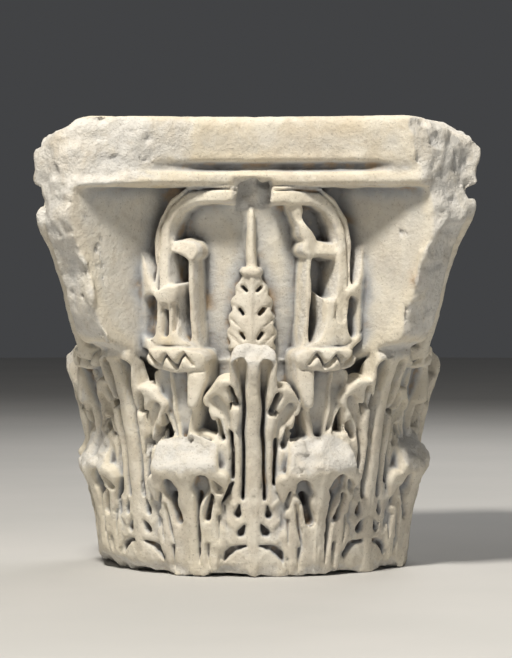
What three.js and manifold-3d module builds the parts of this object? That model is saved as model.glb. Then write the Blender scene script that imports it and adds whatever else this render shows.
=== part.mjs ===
// A worn corinthian capital of white marble, carved from one block.
// Millimetres, +Z up. The origin is the middle of the bottom bed, on the column's axis.
// The better kept side faces -Y. Angles turn about +Z, and 0 is the middle of the -Y side.
import * as THREE from "three";
import { ParametricGeometry } from "three/addons/geometries/ParametricGeometry.js";
import { mergeVertices } from "three/addons/utils/BufferGeometryUtils.js";
import Module from "manifold-3d";

const wasm = await Module();
wasm.setup();

// ---------------------------------------------------------------- driving dimensions
const HEIGHT = 460; // bottom bed to top bed
const BELL_FOOT_R = 148; // radius of the bell behind the leaves
const BELL_LIP_R = 170; // radius of the bell's lip under the abacus
const ABACUS_FOOT_Z = 390; // underside of the abacus
const ABACUS_MID = 184; // axis to the middle of a concave side
const ABACUS_SAG = 66; // how much further out the side's ends stand
const ABACUS_HALF = 215; // half the length of a concave side
const WRAP_R = 165; // radius on which widths across a leaf are measured
const BAND_R = 185; // radius on which the helices' outlines are measured
const ARCH_R = 42; // radius of a helix's arch, to the middle of its band
const ARCH_MID = 52; // the arch's centre stands this far from the middle of its side
const CALYX_ANGLE = 24; // each calyx stands this far from the middle of its side
const CALYX_R = 176; // axis of the capital to the axis of a calyx
const CALYX_Z = 206; // foot of the calyx's lip
const CALYX_DEPTH = 0.62; // a calyx is this much shallower than it is wide
const SMALLEST_DETAIL = 2.4; // facets smaller than this are merged with their neighbours
const WEB_ROOT_R = 170; // where the flanks of a horn's web leave the bell
const FOOT_TRIM = 8; // leaves start this far below the bed and are sawn off at it
const DEG = Math.PI / 180;

// One leaf of each row: the guide is the leaf's middle line in section, as radius and height.
const LOWER_LEAF = {
  guide: [[158, -FOOT_TRIM], [163, 30], [168, 60], [175, 85], [184, 105], [194, 120], [203, 126], [210, 123]],
  halfWidth: 44,
  tipShare: 0.55,
  back: 22,
};
const UPPER_LEAF = {
  guide: [[154, -FOOT_TRIM], [159, 40], [164, 90], [170, 130], [177, 163], [184, 188], [192, 208], [200, 222], [209, 227]],
  halfWidth: 54,
  tipShare: 0.4,
  back: 16,
};
// Half a leaf's carved face, from the rib outwards: share of the half width, share of the relief.
const LEAF_SECTION = [[0.16, 1], [0.3, -0.25], [0.6, 0.8], [1, 0.1]];
const LEAF_RELIEF = 7;
const LEAF_STATIONS = 7;
const LOBES = 3.5; // bulges along each edge of a leaf

// ---------------------------------------------------------------- small helpers
const mix = THREE.MathUtils.lerp;
const smooth = THREE.MathUtils.smoothstep;

// Reads a list of [position, value] pairs as a curve of straight runs.
function along(pairs, at) {
  const next = pairs.findIndex(([p]) => p >= at);
  if (next === 0) return pairs[0][1];
  if (next < 0) return pairs[pairs.length - 1][1];
  const [[p0, v0], [p1, v1]] = [pairs[next - 1], pairs[next]];
  return mix(v0, v1, (at - p0) / (p1 - p0));
}

// The point at an angle (radians) from the middle of the -Y side, at a radius and a height.
const polar = (angle, radius, z) => new THREE.Vector3(radius * Math.sin(angle), -radius * Math.cos(angle), z);

// Turns a closed three.js geometry into a solid with its faces pointing out.
function solidOf(geometry) {
  geometry.deleteAttribute("normal");
  geometry.deleteAttribute("uv");
  const merged = mergeVertices(geometry, 1e-3);
  const corners = [];
  for (let i = 0; i < merged.index.count; i += 3) {
    const [a, b, c] = [0, 1, 2].map((k) => merged.index.getX(i + k));
    if (a !== b && b !== c && c !== a) corners.push([a, b, c]);
  }
  const make = (faces) =>
    new wasm.Manifold(
      new wasm.Mesh({
        numProp: 3,
        vertProperties: merged.attributes.position.array,
        triVerts: new Uint32Array(faces.flat()),
      }),
    );
  const solid = make(corners);
  return solid.volume() > 0 ? solid : make(corners.map(([a, b, c]) => [a, c, b]));
}

// A closed solid through a row of rings: at(row, place) gives a ring's point, and fans close both ends.
function loft(rows, ringSize, at) {
  const ring = (row) => Array.from({ length: ringSize }, (_, place) => at(row, place));
  const rings = Array.from({ length: rows }, (_, row) => ring(row));
  const middle = (points) => points.reduce((sum, p) => sum.add(p), new THREE.Vector3()).divideScalar(points.length);
  const stacks = rows + 1;
  const surface = (u, v, target) => {
    const step = Math.round(v * stacks);
    const place = Math.round(u * ringSize) % ringSize;
    if (step === 0) target.copy(middle(rings[0]));
    else if (step === stacks) target.copy(middle(rings[rows - 1]));
    else target.copy(rings[step - 1][place]);
  };
  return solidOf(new ParametricGeometry(surface, ringSize, stacks));
}

const turned = (solid, degrees) => solid.rotate([0, 0, degrees]);
const mirrored = (solid) => solid.mirror([1, 0, 0]);

// A block between two corners.
function block([x0, y0, z0], [x1, y1, z1]) {
  const box = new THREE.BoxGeometry(x1 - x0, y1 - y0, z1 - z0);
  box.translate((x0 + x1) / 2, (y0 + y1) / 2, (z0 + z1) / 2);
  return solidOf(box);
}

// Everything beyond a plane: distance is from the origin, along the plane's normal.
function beyond(normal, distance) {
  const reach = 900;
  const box = new THREE.BoxGeometry(reach, reach, reach);
  box.translate(0, 0, distance + reach / 2);
  const facing = new THREE.Vector3(...normal).normalize();
  box.applyQuaternion(new THREE.Quaternion().setFromUnitVectors(new THREE.Vector3(0, 0, 1), facing));
  return solidOf(box);
}

// ---------------------------------------------------------------- the bell and the abacus
function bell() {
  const profile = [
    [0, 0],
    [BELL_FOOT_R, 0],
    [BELL_FOOT_R, 200],
    [BELL_FOOT_R + 5, 310],
    [BELL_FOOT_R + 12, 365],
    [BELL_LIP_R, 388],
    [BELL_LIP_R, 402],
    [0, 402],
  ];
  return solidOf(new THREE.LatheGeometry(profile.map(([r, z]) => new THREE.Vector2(r, z)), 20).rotateX(Math.PI / 2));
}

// Four concave sides, each y = -(middle + sag (x / half)^2), with the horns' blunt ends between them.
function abacus() {
  const moulding = [
    [ABACUS_FOOT_Z, -12],
    [ABACUS_FOOT_Z + 4, 0],
    [ABACUS_FOOT_Z + 15, 0],
    [ABACUS_FOOT_Z + 20, -9],
    [ABACUS_FOOT_Z + 32, 1],
    [ABACUS_FOOT_Z + 50, 4],
    [HEIGHT, 2],
  ];
  const steps = 5;
  return loft(moulding.length, 4 * (steps + 1), (row, place) => {
    const [z, out] = moulding[row];
    const side = Math.floor(place / (steps + 1));
    const share = ((place % (steps + 1)) / steps) * 2 - 1;
    const point = new THREE.Vector3(share * ABACUS_HALF, -(ABACUS_MID + out + ABACUS_SAG * share * share), z);
    return point.applyAxisAngle(new THREE.Vector3(0, 0, 1), (side * Math.PI) / 2);
  });
}

// The web of stone under a horn: it grows out of the bell along the diagonal as it rises.
function hornWeb() {
  const reach = [[200, 162], [222, 186], [238, 226], [258, 244], [295, 254], [340, 276], [370, 302], [400, 325]];
  const tipHalf = [[195, 24], [258, 20], [340, 18], [400, 16]];
  const rootHalf = [[195, 27], [258, 28], [320, 31], [370, 40], [400, 52]];
  return loft(reach.length, 6, (row, place) => {
    const [z, far] = reach[row];
    const tip = along(tipHalf, z);
    const root = along(rootHalf, z);
    const rootR = Math.min(WEB_ROOT_R, far - 2);
    const outline = [[120, root], [rootR, root], [far, tip], [far, -tip], [rootR, -root], [120, -root]];
    const [radial, lateral] = outline[place];
    return new THREE.Vector3(lateral, -radial, z);
  });
}

// ---------------------------------------------------------------- leaves
// An acanthus leaf: a fluted section carried up the guide, with scalloped edges and a tip that curls over.
function leaf({ guide, halfWidth, tipShare, back }) {
  const line = new THREE.SplineCurve(guide.map(([r, z]) => new THREE.Vector2(r, z)));
  const face = [...LEAF_SECTION.map(([v, n]) => [-v, n]).reverse(), ...LEAF_SECTION];
  const section = [...face, [1, -back / LEAF_RELIEF], [-1, -back / LEAF_RELIEF]];
  return loft(LEAF_STATIONS, section.length, (row, place) => {
    const share = row / (LEAF_STATIONS - 1);
    const middle = line.getPointAt(share);
    const tangent = line.getTangentAt(share);
    const scallop = 0.86 + 0.14 * Math.abs(Math.sin(Math.PI * LOBES * share));
    const narrowing = mix(1, tipShare, smooth(share, 0.55, 1)) * mix(0.86, 1, smooth(share, 0, 0.4));
    const [across, depth] = section[place];
    const width = halfWidth * scallop * narrowing * across;
    const relief = LEAF_RELIEF * depth;
    return polar(width / WRAP_R, middle.x + relief * tangent.y, middle.y - relief * tangent.x);
  });
}

// The small upright leaf on the bell, under the middle of each side.
function budLeaf() {
  const foot = 228;
  const top = 306;
  const rows = 7;
  const face = [[-1, 8], [-0.55, 4], [-0.15, 9], [0.15, 9], [0.55, 4], [1, 8]];
  const section = [...face, [1, -12], [-1, -12]];
  return loft(rows, section.length, (row, place) => {
    const share = row / (rows - 1);
    const half = 27 * mix(1, 0.5, share * share) * (row % 2 ? 1 : 0.86);
    const [across, depth] = section[place];
    return polar((half * across) / WRAP_R, 155 + depth + 5 * share, mix(foot, top, share));
  });
}

// The stalk above the bud leaf and the collar between them.
function budStalk() {
  const stalk = new THREE.CylinderGeometry(5, 9, 84, 8).rotateX(Math.PI / 2);
  stalk.translate(0, -160, 344);
  const collar = new THREE.CylinderGeometry(14, 12, 8, 10).rotateX(Math.PI / 2);
  collar.translate(0, -162, 310);
  return solidOf(stalk).add(solidOf(collar));
}

// ---------------------------------------------------------------- calyces, helices and corner stems
// A fluted stem with a lip, and over it a cup of upright leaflets, which stands further out: radius, then shift.
function calyx() {
  const outline = [
    [120, 13, 0], [CALYX_Z - 30, 24, 0], [CALYX_Z - 1, 27, 0], [CALYX_Z + 3, 34, 0],
    [CALYX_Z + 18, 35, 0], [CALYX_Z + 30, 29, 12], [CALYX_Z + 60, 27, 18], [CALYX_Z + 88, 26, 18],
  ];
  const flutes = 4;
  const ringSize = 2 * flutes;
  const lean = 0.1; // outwards, for each millimetre up
  const middle = CALYX_ANGLE * DEG;
  return loft(outline.length, ringSize, (row, place) => {
    const [z, radius, shift] = outline[row];
    const turn = (place / ringSize) * 2 * Math.PI;
    const cut = row < 3 || row > 5 ? 0.8 : 1;
    const r = radius * (place % 2 ? cut : 1);
    const depth = CALYX_DEPTH * r * Math.cos(turn);
    const across = r * Math.sin(turn) + shift;
    const centre = CALYX_R - 12 + lean * (z - 120) - 0.1 * Math.max(0, z - CALYX_Z - 24);
    return polar(middle + across / BAND_R, centre + depth, z);
  });
}

// The helix towards the middle of the side: a channelled band that rises from the calyx and arches over.
function helix() {
  const top = ABACUS_FOOT_Z - 8;
  const line = new THREE.SplineCurve(
    [
      [84, CALYX_Z + 26],
      [94, 290],
      [ARCH_MID + ARCH_R, top - ARCH_R],
      [ARCH_MID + ARCH_R * Math.SQRT1_2, top - ARCH_R * (1 - Math.SQRT1_2)],
      [ARCH_MID, top],
      [18, top],
    ].map(([s, z]) => new THREE.Vector2(s, z)),
  );
  const rows = 8;
  const section = [[-1, -30], [-1, 0], [-0.5, 0], [0, -8], [0.5, 0], [1, 0], [1, -30]];
  return loft(rows, section.length, (row, place) => {
    const share = row / (rows - 1);
    const at = line.getPointAt(share);
    const tangent = line.getTangentAt(share);
    const half = mix(14, 10.5, smooth(share, 0.1, 0.4));
    const [across, depth] = section[place];
    const s = at.x + half * across * tangent.y;
    const z = at.y - half * across * tangent.x;
    return polar(s / BAND_R, BAND_R + 2 + depth, z);
  });
}

// The upright that carried a helix's spiral, and the stump of the spiral on its top: height, place, half width.
function upright() {
  const outline = [[224, 61, 8], [260, 63, 6.5], [312, 64, 6.5], [318, 70, 13], [338, 71, 13]];
  const section = [[-1, 148], [1, 148], [1, 180], [-1, 180]];
  return loft(outline.length, section.length, (row, place) => {
    const [z, middle, half] = outline[row];
    const [across, radius] = section[place];
    return polar((middle + half * across) / BAND_R, radius, z);
  });
}

// The stem of a corner volute, on one side of the horn's web, up to where the volute has broken off.
function cornerStem() {
  const path = [[186, 60, 236], [200, 58, 262], [218, 46, 295], [248, 31, 335], [278, 22, 366], [300, 15, 392]];
  const halfThick = 9;
  const halfDeep = 14;
  const ringSize = 4;
  return loft(path.length, ringSize, (row, place) => {
    const [radial, lateral, z] = path[row];
    const [before, after] = [path[Math.max(row - 1, 0)], path[Math.min(row + 1, path.length - 1)]];
    const rise = new THREE.Vector2(after[0] - before[0], after[2] - before[2]).normalize();
    const a = (place === 0 || place === 3 ? -1 : 1) * halfThick;
    const b = (place < 2 ? -1 : 1) * halfDeep;
    return new THREE.Vector3(lateral + a, -(radial + b * rise.y), z - b * rise.x);
  });
}

// ---------------------------------------------------------------- the carved block
function carvedBlock() {
  const parts = [bell(), abacus()];
  const lower = leaf(LOWER_LEAF);
  const upper = leaf(UPPER_LEAF);
  parts.push(...LOWER_SCARS.map((scar) => brokenLeaf(lower, scar)));
  parts.push(...UPPER_SCARS.map((scar) => brokenLeaf(upper, scar)));
  const oneCalyx = calyx();
  const oneHelix = helix();
  const oneUpright = upright();
  const stem = cornerStem();
  const web = hornWeb();
  for (let side = 0; side < 4; side += 1) {
    const facing = side * 90;
    parts.push(turned(oneCalyx, facing), turned(mirrored(oneCalyx), facing));
    parts.push(turned(oneHelix, facing), turned(mirrored(oneHelix), facing));
    parts.push(turned(oneUpright, facing), turned(mirrored(oneUpright), facing));
    parts.push(turned(budLeaf(), facing), turned(budStalk(), facing));
    parts.push(turned(web, facing + 45));
    // The front stems have gone: one side of each front horn's web is bare.
    if (side !== 3) parts.push(turned(stem, facing + 45));
    if (side !== 0) parts.push(turned(mirrored(stem), facing + 45));
  }
  return wasm.Manifold.union(parts);
}

// ---------------------------------------------------------------- the damage
// Each break takes away what lies beyond a plane, inside a block that keeps it to its own place.
const BREAKS = [
  { what: "front right horn, struck off", normal: [0.585, -0.811, 0.05], distance: 293, from: [90, -400, 215], to: [400, -60, 560] },
  { what: "right horns, worn top", normal: [0.46, -0.116, 0.88], distance: 504, from: [80, -400, 360], to: [400, 400, 560] },
  { what: "front left horn, face", normal: [0.1, -0.995, 0], distance: 185, from: [-400, -400, 368], to: [-30, -80, 560] },
  { what: "front left horn, side", normal: [-0.753, -0.657, 0], distance: 277, from: [-400, -400, 270], to: [-70, 30, 560] },
  { what: "left horns, rounded shoulder", normal: [-0.541, 0, 0.841], distance: 479, from: [-400, -400, 350], to: [-70, 400, 560] },
  { what: "left horns, rounded end", normal: [-0.921, 0, 0.389], distance: 364, from: [-400, -400, 340], to: [-150, 400, 560] },
  { what: "back left horn, tip", normal: [-0.64, 0.77, 0], distance: 296, from: [-400, 70, 270], to: [-70, 400, 560] },
  { what: "back right horn, tip", normal: [0.707, 0.707, 0.12], distance: 338, from: [70, 70, 270], to: [400, 400, 560] },
  { what: "back right horn, top", normal: [0.4, 0.2, 0.894], distance: 512, from: [70, -30, 350], to: [400, 400, 560] },
  { what: "front left foot", normal: [-0.52, -0.22, -0.825], distance: 82, from: [-320, -320, -120], to: [-20, 40, 60] },
  { what: "front right foot", normal: [0.42, -0.3, -0.856], distance: 92, from: [20, -320, -120], to: [320, 40, 60] },
];

// Most leaves have lost their tips: the angle of each leaf, and how far out its scar stands.
const LOWER_SCARS = [[22.5, 228], [67.5, 221], [112.5, 222], [157.5, 246], [202.5, 233], [247.5, 228], [292.5, 220], [337.5, 227]];
const UPPER_SCARS = [[0, 282], [45, 288], [90, 274], [135, 296], [180, 284], [225, 284], [270, 276], [315, 286]];

// The hollow left where the flower in the middle of each side has gone: half width, foot, top, depth.
const SOCKET = { half: 19, foot: 369, top: 403, radius: 167 };

// A leaf turned to its place, less its lost tip.
function brokenLeaf(whole, [angle, distance]) {
  return turned(whole.subtract(beyond([0, -0.87, 0.49], distance)), angle);
}

function damage() {
  const cuts = BREAKS.map(({ normal, distance, from, to }) => block(from, to).intersect(beyond(normal, distance)));
  for (let side = 0; side < 4; side += 1) {
    cuts.push(turned(block([-SOCKET.half, -260, SOCKET.foot], [SOCKET.half, -SOCKET.radius, SOCKET.top]), side * 90));
  }
  const reach = 500;
  cuts.push(block([-reach, -reach, -100], [reach, reach, 0]), block([-reach, -reach, HEIGHT], [reach, reach, HEIGHT + 100]));
  return wasm.Manifold.union(cuts);
}

// ---------------------------------------------------------------- the finished part
function geometryOf(solid) {
  const { vertProperties, triVerts } = solid.getMesh();
  const geometry = new THREE.BufferGeometry();
  geometry.setAttribute("position", new THREE.BufferAttribute(new Float32Array(vertProperties), 3));
  geometry.setIndex(new THREE.BufferAttribute(new Uint32Array(triVerts), 1));
  geometry.computeVertexNormals();
  return geometry;
}

// Crumbs that a break would leave hanging loose are dropped, and facets too small to see are merged.
function finished(solid) {
  const pieces = solid.decompose();
  const whole = pieces.reduce((best, piece) => (piece.volume() > best.volume() ? piece : best));
  return whole.simplify(SMALLEST_DETAIL);
}

const marble = new THREE.MeshStandardMaterial({ color: 0xd6cdbb, roughness: 0.72, metalness: 0 });
const capital = new THREE.Mesh(geometryOf(finished(carvedBlock().subtract(damage()))), marble);
capital.name = "capital";

const part = new THREE.Group();
part.add(capital);
export default part;
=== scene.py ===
"""A worn corinthian capital of white marble, as a Blender add-on.

The capital is one carved block, so it is one mesh. Its surface is worked out as a field on a fine grid:
negative inside the stone and positive outside. Round the axis, the bell, the webs under the horns, the calyces,
the helices and the bud leaves are one map of radius against angle and height. Leaves are relief maps that are
carried up a curved guide, and the abacus is a moulding with concave sides. Breaks are planes that cut the field.
Lengths here are millimetres, and MM turns them into metres.
"""

import math

import bpy
import numpy as np
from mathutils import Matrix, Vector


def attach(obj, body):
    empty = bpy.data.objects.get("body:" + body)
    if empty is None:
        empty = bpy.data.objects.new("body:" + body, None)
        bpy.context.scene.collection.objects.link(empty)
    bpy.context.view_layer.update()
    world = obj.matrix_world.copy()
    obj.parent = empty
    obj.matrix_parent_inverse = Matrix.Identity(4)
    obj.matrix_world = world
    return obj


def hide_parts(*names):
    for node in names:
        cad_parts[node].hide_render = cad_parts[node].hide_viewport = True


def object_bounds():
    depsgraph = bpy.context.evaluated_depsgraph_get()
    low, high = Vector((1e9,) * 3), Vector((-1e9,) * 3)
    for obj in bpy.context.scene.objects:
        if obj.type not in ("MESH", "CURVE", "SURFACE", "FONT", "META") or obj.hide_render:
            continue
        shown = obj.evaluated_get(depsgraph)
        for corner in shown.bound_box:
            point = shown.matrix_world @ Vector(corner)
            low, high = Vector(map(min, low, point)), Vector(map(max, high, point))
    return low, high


bl_info = {
    "name": "Carved capital",
    "version": (1, 0, 0),
    "blender": (4, 5, 0),
    "location": "View3D > Sidebar > Capital",
    "description": "Builds a worn corinthian capital of marble and its studio",
    "category": "Add Mesh",
}

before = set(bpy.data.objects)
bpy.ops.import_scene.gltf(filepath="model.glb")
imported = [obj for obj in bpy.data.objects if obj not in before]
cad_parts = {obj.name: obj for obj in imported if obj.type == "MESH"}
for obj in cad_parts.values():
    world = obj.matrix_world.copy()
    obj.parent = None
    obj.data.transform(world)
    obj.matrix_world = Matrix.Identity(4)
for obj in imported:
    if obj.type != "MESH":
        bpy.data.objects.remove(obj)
CAD_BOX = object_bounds()

# ------------------------------------------------------------------------------------------------ sizes
MM = 0.001
HEIGHT = 460.0
GRID_STEP = 1.5  # spacing of the field's grid
MAP_STEP = 0.75  # spacing of the relief maps
TRIANGLES = 194000
NEAR_Y = -230.0  # triangles are most crowded at this y
NEAR_DEPTH = 300.0  # and half as long and wide again this much further back
BAND_R = 185.0  # radius on which widths round the bell are measured
WRAP_R = 165.0  # radius on which widths across a leaf are measured
ABACUS_FOOT = 390.0
ABACUS_MID = 184.0
ABACUS_SAG = 66.0
ABACUS_HALF = 215.0

BELL = ((-20, 148), (60, 148), (150, 147), (230, 149), (310, 153), (365, 161), (385, 170), (410, 172))
WEB_ROOT_R = 176.0
WEB_REACH = ((200, 162), (222, 186), (238, 226), (258, 244), (295, 254), (340, 276), (370, 302), (400, 325))
WEB_TIP = ((195, 24), (258, 20), (340, 18), (400, 16))
WEB_ROOT = ((195, 27), (258, 28), (320, 29), (370, 36), (400, 46))

# Middle line of each row's leaves in section: radius and height.
LOWER_GUIDE = (
    (158, -12), (163, 30), (168, 60), (175, 85), (184, 105), (194, 120), (203, 126), (210, 123), (213, 112),
)
UPPER_GUIDE = (
    (154, -12), (159, 40), (164, 90), (170, 130), (177, 163), (184, 188), (192, 208), (200, 222), (207, 227),
    (213, 222), (215, 210),
)


# ------------------------------------------------------------------------------------------------ plain maths
def curve(pairs, at):
    """Value at each place on a smooth line through (place, value) pairs: a cubic between each two of them.

    The slope at a pair is the mean of the slopes on its two sides, or 0 where those have different signs.
    """
    places, values = (np.array(column, float) for column in zip(*pairs))
    slopes = np.diff(values) / np.diff(places)
    inner = np.where(slopes[:-1] * slopes[1:] > 0, (slopes[:-1] + slopes[1:]) / 2, 0.0)
    ends = np.concatenate([[slopes[0]], inner, [slopes[-1]]])
    held = np.clip(at, places[0], places[-1])
    cell = np.clip(np.searchsorted(places, held, side="right") - 1, 0, len(places) - 2)
    width = places[cell + 1] - places[cell]
    t = (held - places[cell]) / width
    start = values[cell] * (1 + 2 * t) * (1 - t) ** 2 + ends[cell] * width * t * (1 - t) ** 2
    return start + values[cell + 1] * t * t * (3 - 2 * t) + ends[cell + 1] * width * t * t * (t - 1)


def ease(share):
    """Smooth step: 3t^2 - 2t^3, with t held between 0 and 1."""
    t = np.clip(share, 0.0, 1.0)
    return t * t * (3.0 - 2.0 * t)


def join(a, b, soft):
    """Union of two fields. Their seam is filled: the lesser, less (soft - |a - b|)^2 / 4 soft where they are close."""
    gap = np.maximum(soft - np.abs(a - b), 0.0)
    return np.minimum(a, b) - gap * gap / (4.0 * soft)


def cut(a, b, soft):
    """Intersection of two fields, with its edge rounded in the same way."""
    return -join(-a, -b, soft)


def rod(across, up, start, end, start_r, end_r):
    """Distance to a tapered bar with round ends: |p - nearest point of its axis| less the radius there."""
    along = np.array(end, float) - np.array(start, float)
    share = ((across - start[0]) * along[0] + (up - start[1]) * along[1]) / max(along @ along, 1e-9)
    share = np.clip(share, 0.0, 1.0)
    away = np.hypot(across - start[0] - along[0] * share, up - start[1] - along[1] * share)
    return away - (start_r + (end_r - start_r) * share)


def path(across, up, points, radii):
    """Distance to a chain of tapered bars through the points."""
    chain = [
        rod(across, up, a, b, ra, rb) for a, b, ra, rb in zip(points[:-1], points[1:], radii[:-1], radii[1:])
    ]
    return np.minimum.reduce(chain)


def sunk(relief, away, depth, wall):
    """Lowers the relief by depth where away is negative, down a wall of the given width."""
    return relief - depth * ease(-away / wall)


def raised(relief, away, height, wall):
    """Raises the relief where away is negative, up a slope of the given width."""
    return relief + height * ease(-away / wall)


def noise(x, y, z, cell, seed):
    """Lattice noise from -1 to 1: random values at the corners of cubes, blended by smooth steps across each cube."""
    lattice = np.random.default_rng(seed).uniform(-1.0, 1.0, (32, 32, 32)).astype(np.float32)
    places = [np.asarray(axis, np.float32) / cell + 1000.0 for axis in (x, y, z)]
    cells = [np.floor(place).astype(np.int32) for place in places]
    shares = [ease(place - corner).astype(np.float32) for place, corner in zip(places, cells)]
    total = 0.0
    for corner in np.ndindex(2, 2, 2):
        weight = 1.0
        for share, side in zip(shares, corner):
            weight = weight * (share if side else 1.0 - share)
        picks = tuple((place + side) % 32 for place, side in zip(cells, corner))
        total = total + weight * lattice[picks]
    return total


# ------------------------------------------------------------------------------------------------ the field
class Field:
    """A block of samples, negative inside the stone, with the places of its grid lines."""

    def __init__(self, low, high, step):
        self.low = np.array(low, float)
        self.step = step
        counts = [int(math.ceil((b - a) / step)) + 1 for a, b in zip(low, high)]
        self.axes = [self.low[i] + step * np.arange(counts[i]) for i in range(3)]
        self.values = np.full(counts, 50.0, np.float32)

    def window(self, low, high):
        """The part of the block between two corners, as slices and as open grids of x, y and z."""
        spans = []
        for axis, a, b in zip(self.axes, low, high):
            first = int(np.searchsorted(axis, a))
            last = int(np.searchsorted(axis, b, side="right"))
            spans.append(slice(first, max(last, first)))
        grids = np.meshgrid(*(axis[span].astype(np.float32) for axis, span in zip(self.axes, spans)), indexing="ij", sparse=True)
        return tuple(spans), grids

    def sample(self, points):
        """The field between its samples, by straight lines along each axis."""
        return sample(self.values, (points - self.low) / self.step)

    def soften(self, passes):
        """Wears every edge: each pass averages 1 - 2 - 1 along each axis."""
        for _ in range(passes):
            for axis in range(3):
                values = np.moveaxis(self.values, axis, 0)
                blend = 0.25 * values[:-2] + 0.5 * values[1:-1] + 0.25 * values[2:]
                values[1:-1] = blend


def sample(values, places):
    """Reads a block of samples at fractional places, blending the eight nearest."""
    cells = [np.clip(np.floor(places[:, i]).astype(np.int32), 0, values.shape[i] - 2) for i in range(3)]
    shares = [np.clip(places[:, i] - cells[i], 0.0, 1.0) for i in range(3)]
    total = np.zeros(len(places))
    for corner in np.ndindex(2, 2, 2):
        weight = np.ones(len(places))
        for share, side in zip(shares, corner):
            weight = weight * (share if side else 1.0 - share)
        total += weight * values[tuple(cell + side for cell, side in zip(cells, corner))]
    return total


def read_map(values, row, column):
    """Reads a flat map at fractional rows and columns, blending the four nearest."""
    r = np.clip(row, 0, values.shape[0] - 1.001)
    c = np.clip(column, 0, values.shape[1] - 1.001)
    r0 = r.astype(np.int32)
    c0 = c.astype(np.int32)
    fr = (r - r0).astype(np.float32)
    fc = (c - c0).astype(np.float32)
    low = values[r0, c0] * (1 - fc) + values[r0, c0 + 1] * fc
    high = values[r0 + 1, c0] * (1 - fc) + values[r0 + 1, c0 + 1] * fc
    return low * (1 - fr) + high * fr


# ------------------------------------------------------------------------------------------------ round the bell
# Each side's map has s, the distance round from the middle of the side at BAND_R, and z.
MAP_LOW = -12.0
MAP_HIGH = 412.0


def bell_and_web(s, z):
    """The bell, and the webs that grow from it towards the horns.

    A web's plan is a blunt wedge. On a ray at an angle d from the diagonal, its tip is at reach / cos d, and its
    flank, the line from (reach, tip) to (root, root half), is where the ray meets that line.
    """
    bell = curve(BELL, z)
    out = np.abs(s) / BAND_R
    away = np.abs(math.pi / 4 - out)
    reach = curve(WEB_REACH, z)
    tip = curve(WEB_TIP, z)
    root = curve(WEB_ROOT, z)
    end = reach / np.cos(away)
    normal = np.stack([root - tip, np.maximum(reach - WEB_ROOT_R, 4.0)])
    normal = normal / np.hypot(normal[0], normal[1])
    level = normal[0] * reach + normal[1] * tip
    flank = level / (normal[0] * np.cos(away) + normal[1] * np.sin(away))
    web = join(flank, end, 14.0)
    web = 120.0 + (web - 120.0) * ease((z - 195.0) / 30.0)
    return -join(-bell, -web, 14.0)


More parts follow.
